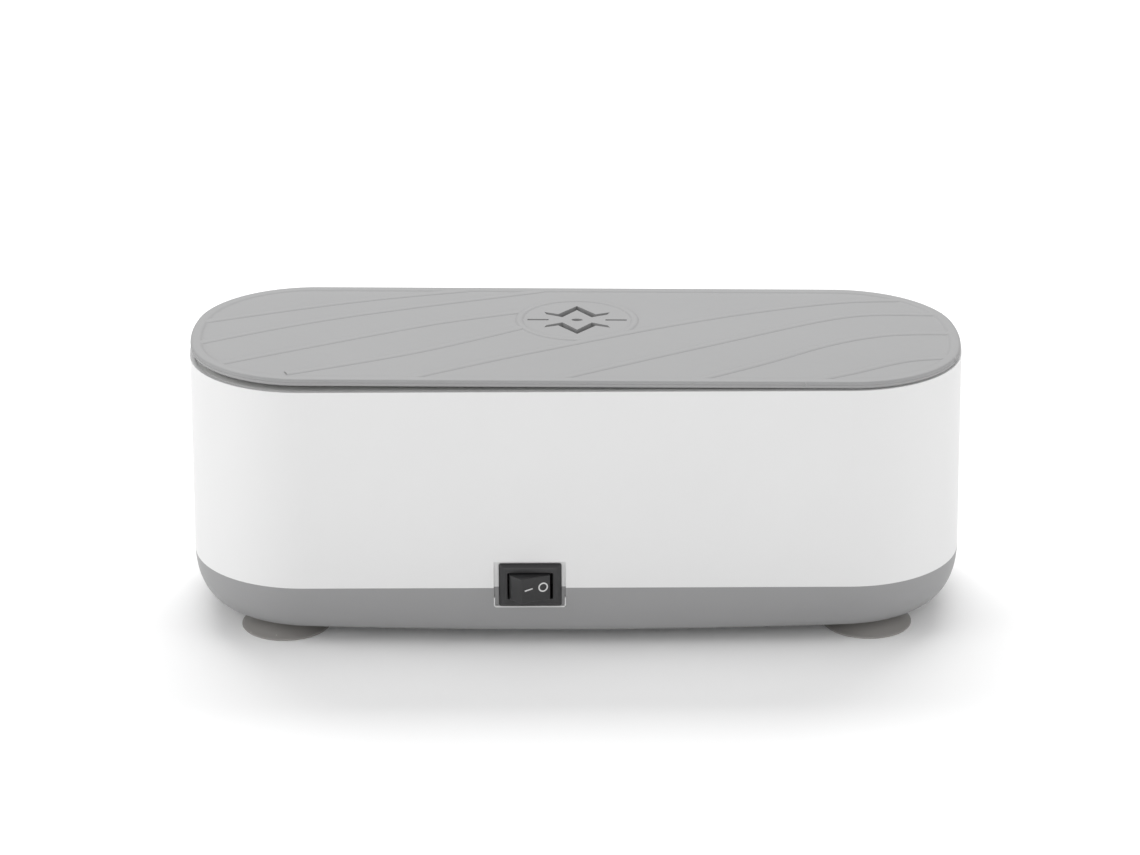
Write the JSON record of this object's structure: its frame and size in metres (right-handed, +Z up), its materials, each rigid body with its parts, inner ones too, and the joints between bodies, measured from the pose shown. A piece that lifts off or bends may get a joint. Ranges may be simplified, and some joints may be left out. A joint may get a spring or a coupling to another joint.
{
  "type": "ultrasonic cleaner",
  "caption": "Small battery ultrasonic cleaner: long rounded tub, grey base on suction feet, lift-off lid with wave ribs and a vent, rocker switch low on the front.",
  "frame": {"origin": "middle of the tub's plan, on the surface that the suction feet stand on", "axes": "+X along the tub to the right, -Y the front with the switch, +Z up"},
  "size_m": [0.1888, 0.073, 0.0694],
  "materials": {
    "case_white": "satin",
    "base_grey": "satin",
    "lid_grey": "matt",
    "tank_white": "gloss",
    "gasket_rubber": "matt",
    "foot_rubber": "matt",
    "switch_black": "satin",
    "rocker_black": "satin",
    "contact_metal": "bright",
    "spring_steel": "plated",
    "screw_steel": "plated",
    "motor_steel": "plated",
    "motor_plastic": "matt",
    "weight_brass": "machined",
    "cell_jacket": "gloss",
    "lead_red": "satin",
    "lead_black": "satin"
  },
  "bodies": {
    "housing": {"base_shell": "base_grey", "body_shell": "case_white", "tank": "tank_white", "tank_gasket": "gasket_rubber", "switch_housing": "switch_black", "switch_terminal_common": "contact_metal", "switch_terminal_load": "contact_metal", "battery_1": "cell_jacket", "battery_2": "cell_jacket", "battery_contact_positive": "spring_steel", "battery_contact_negative": "spring_steel", "battery_contact_bridge": "spring_steel", "battery_spring_1": "spring_steel", "battery_spring_2": "spring_steel", "case_screw_1": "screw_steel", "case_screw_2": "screw_steel", "case_screw_3": "screw_steel", "case_screw_4": "screw_steel", "suction_foot_1": "foot_rubber", "suction_foot_2": "foot_rubber", "suction_foot_3": "foot_rubber", "suction_foot_4": "foot_rubber", "motor_can": "motor_steel", "motor_end_cap": "motor_plastic", "motor_terminal_1": "contact_metal", "motor_terminal_2": "contact_metal", "motor_pad": "gasket_rubber", "motor_clamp": "spring_steel", "clamp_screw_1": "screw_steel", "clamp_screw_2": "screw_steel", "lead_battery_switch": "lead_red", "lead_switch_motor": "lead_red", "lead_battery_motor": "lead_black"},
    "lid": {"lid": "lid_grey"},
    "rocker": {"rocker": "rocker_black", "switch_plunger": "contact_metal"},
    "contact": {"switch_contact_strip": "contact_metal"},
    "spindle": {"motor_shaft": "screw_steel", "motor_rotor": "motor_steel", "eccentric_weight": "weight_brass"},
    "door": {"battery_door": "base_grey", "door_screw": "screw_steel"}
  },
  "joints": [
    {"name": "lid_lift", "type": "slide", "parent": "housing", "child": "lid", "axis": [0, 0, 1], "range_m": [0, 0.08]},
    {"name": "rocker_pivot", "type": "hinge", "parent": "housing", "child": "rocker", "pos_m": [-0.0111, -0.0338, 0.01685], "axis": [0, 0, -1], "range_deg": [0, 44]},
    {"name": "contact_rock", "type": "hinge", "parent": "housing", "child": "contact", "pos_m": [-0.0111, -0.0279, 0.01685], "axis": [0, 0, 1], "range_deg": [0, 16]},
    {"name": "motor_spin", "type": "hinge", "parent": "housing", "child": "spindle", "pos_m": [0.041, 0, 0.02], "axis": [1, 0, 0], "continuous": true},
    {"name": "door_drop", "type": "slide", "parent": "housing", "child": "door", "axis": [0, 0, -1], "range_m": [0, 0.03]}
  ],
  "couplings": [
    {"joint": "contact_rock", "follows": "rocker_pivot", "ratio": 0.36364}
  ]
}
